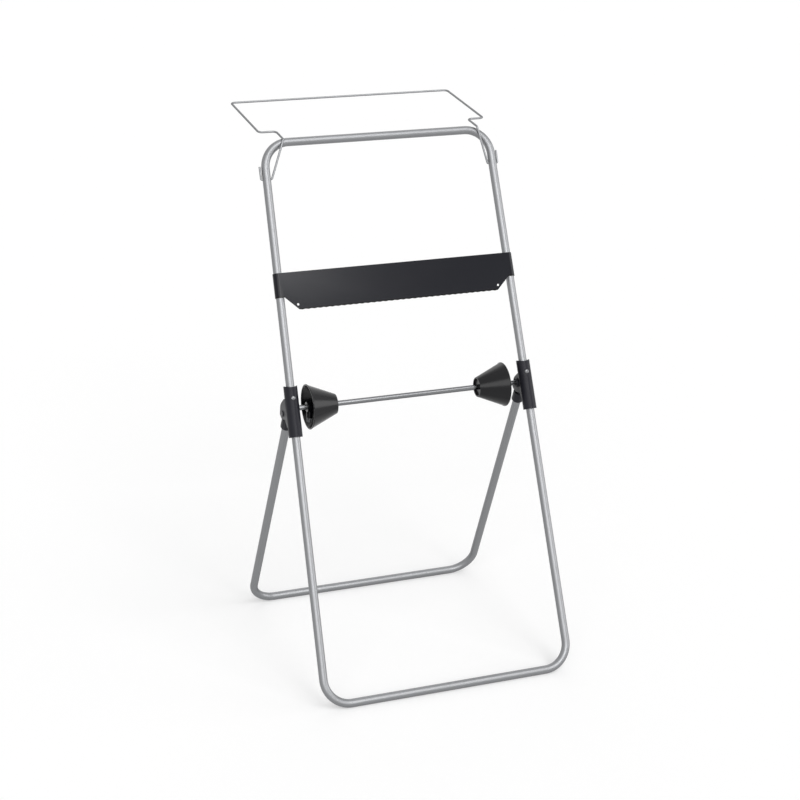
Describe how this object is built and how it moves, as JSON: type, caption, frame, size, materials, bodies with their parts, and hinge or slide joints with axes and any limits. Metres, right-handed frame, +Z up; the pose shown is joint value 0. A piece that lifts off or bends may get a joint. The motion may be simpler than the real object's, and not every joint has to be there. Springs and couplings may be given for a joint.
{
  "type": "folding paper roll floor stand",
  "caption": "Folding floor stand of bent tube for wide paper wiper rolls, with a spindle and centring cones, a toothed tear-off plate and a wire hoop for a waste bag.",
  "frame": {"origin": "on the floor, at the middle of the bottom of the whole stand's box", "axes": "+X to the right seen from the front, +Y to the back, +Z up"},
  "size_m": [0.5142, 0.656, 1.0395],
  "materials": {
    "tube": "satin",
    "plate": "satin",
    "chrome": "polished",
    "wire": "satin",
    "hardware": "satin",
    "rivet": "satin",
    "plastic": "satin"
  },
  "bodies": {
    "frame": {"upper_frame": "tube", "lower_frame": "tube", "hinge_bracket_left": "plastic", "hinge_bracket_right": "plastic", "hinge_rivet_left": "rivet", "hinge_rivet_right": "rivet", "bracket_screws": "hardware", "tear_plate": "plate"},
    "rear_leg": {"rear_leg": "tube", "leg_cap_left": "plastic", "leg_cap_right": "plastic"},
    "spindle": {"spindle_rod": "chrome"},
    "collar_left": {"stop_collar_left": "plastic", "collar_nut_left": "hardware"},
    "collar_right": {"stop_collar_right": "plastic", "collar_nut_right": "hardware"},
    "screw_left": {"thumb_screw_left": "hardware"},
    "screw_right": {"thumb_screw_right": "hardware"},
    "cone_left": {"cone_left": "plastic"},
    "cone_right": {"cone_right": "plastic"},
    "bag_hoop": {"bag_hoop": "wire"}
  },
  "joints": [
    {"name": "leg_fold", "type": "hinge", "parent": "frame", "child": "rear_leg", "pos_m": [0, -0.08186, 0.5123], "axis": [-1, 0, 0], "range_deg": [0, 50.9]},
    {"name": "hoop_swing", "type": "hinge", "parent": "frame", "child": "bag_hoop", "pos_m": [0, 0.06145, 0.93347], "axis": [1, 0, 0], "range_deg": [0, 185]},
    {"name": "spindle_lift", "type": "slide", "parent": "frame", "child": "spindle", "axis": [0, 0.3811, 0.9245], "range_m": [0, 0.045]},
    {"name": "collar_left_slide", "type": "slide", "parent": "spindle", "child": "collar_left", "axis": [1, 0, 0], "range_m": [-0.015, 0.1]},
    {"name": "screw_left_turn", "type": "hinge", "parent": "collar_left", "child": "screw_left", "pos_m": [-0.20091, -0.08659, 0.50032], "axis": [0, 0, -1], "range_deg": [-360, 0]},
    {"name": "cone_left_spin", "type": "hinge", "parent": "collar_left", "child": "cone_left", "pos_m": [-0.20491, -0.08659, 0.52182], "axis": [1, 0, 0], "continuous": true},
    {"name": "collar_right_slide", "type": "slide", "parent": "spindle", "child": "collar_right", "axis": [-1, 0, 0], "range_m": [-0.019, 0.1]},
    {"name": "screw_right_turn", "type": "hinge", "parent": "collar_right", "child": "screw_right", "pos_m": [0.19521, -0.08659, 0.50032], "axis": [0, 0, -1], "range_deg": [-360, 0]},
    {"name": "cone_right_spin", "type": "hinge", "parent": "collar_right", "child": "cone_right", "pos_m": [0.19921, -0.08659, 0.52182], "axis": [1, 0, 0], "continuous": true}
  ]
}
